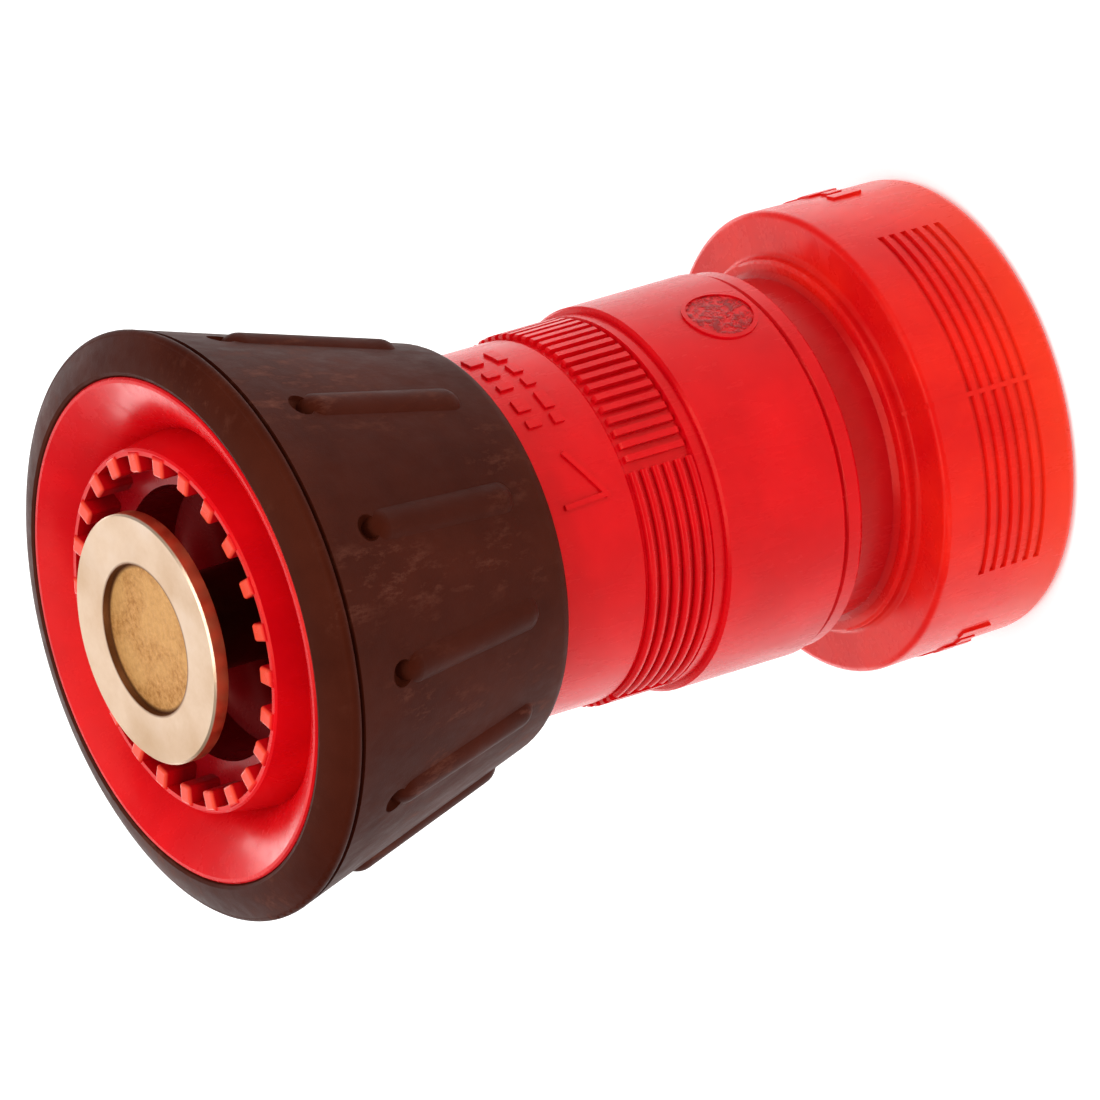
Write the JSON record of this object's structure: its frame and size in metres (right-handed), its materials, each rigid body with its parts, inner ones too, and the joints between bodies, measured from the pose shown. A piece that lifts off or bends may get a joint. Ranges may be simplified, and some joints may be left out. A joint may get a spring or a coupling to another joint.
{
  "type": "fire hose nozzle",
  "caption": "Twist-action fire hose nozzle with a female hose coupling, ribbed barrel, toothed outlet with a brass head, and a flared rubber bumper.",
  "frame": {"origin": "centre of the coupling's rear face, on the nozzle's axis", "axes": "+Z along the axis, the way the water leaves; +X through the middle of one grooved grip panel, on the coupling's moulding line; +Y completes the right-handed frame"},
  "size_m": [0.0888, 0.0888, 0.1422],
  "materials": {
    "red_plastic": "glossy moulded red polycarbonate",
    "bumper_rubber": "satin moulded black-brown rubber",
    "seal_rubber": "smooth black seal rubber",
    "brass": "turned brass",
    "head_brass": "pale faced brass with a rough recess",
    "spring_steel": "plain spring steel"
  },
  "bodies": {
    "base": {"base_body": "red_plastic", "hose_gasket": "seal_rubber", "stem_spider": "brass", "spider_snap_ring": "spring_steel", "stem": "brass", "stem_washer": "brass", "stem_nut": "brass", "valve_plug": "brass", "plug_seal": "seal_rubber", "seal_retainer": "brass", "baffle_head": "head_brass"},
    "seal_ring": {"barrel_seal_ring": "seal_rubber"},
    "barrel": {"barrel": "red_plastic", "retaining_ring": "red_plastic", "tooth_ring": "red_plastic", "bumper": "bumper_rubber"}
  },
  "joints": [
    {"name": "barrel_travel", "type": "slide", "parent": "base", "child": "seal_ring", "axis": [0, 0, 1], "range_m": [0, 0.014]},
    {"name": "barrel_turn", "type": "hinge", "parent": "seal_ring", "child": "barrel", "pos_m": [0, 0, 0.079], "axis": [0, 0, 1], "range_deg": [0, 210]}
  ],
  "couplings": [
    {"joint": "barrel_travel", "follows": "barrel_turn", "m_per_rad": 0.0038197}
  ]
}
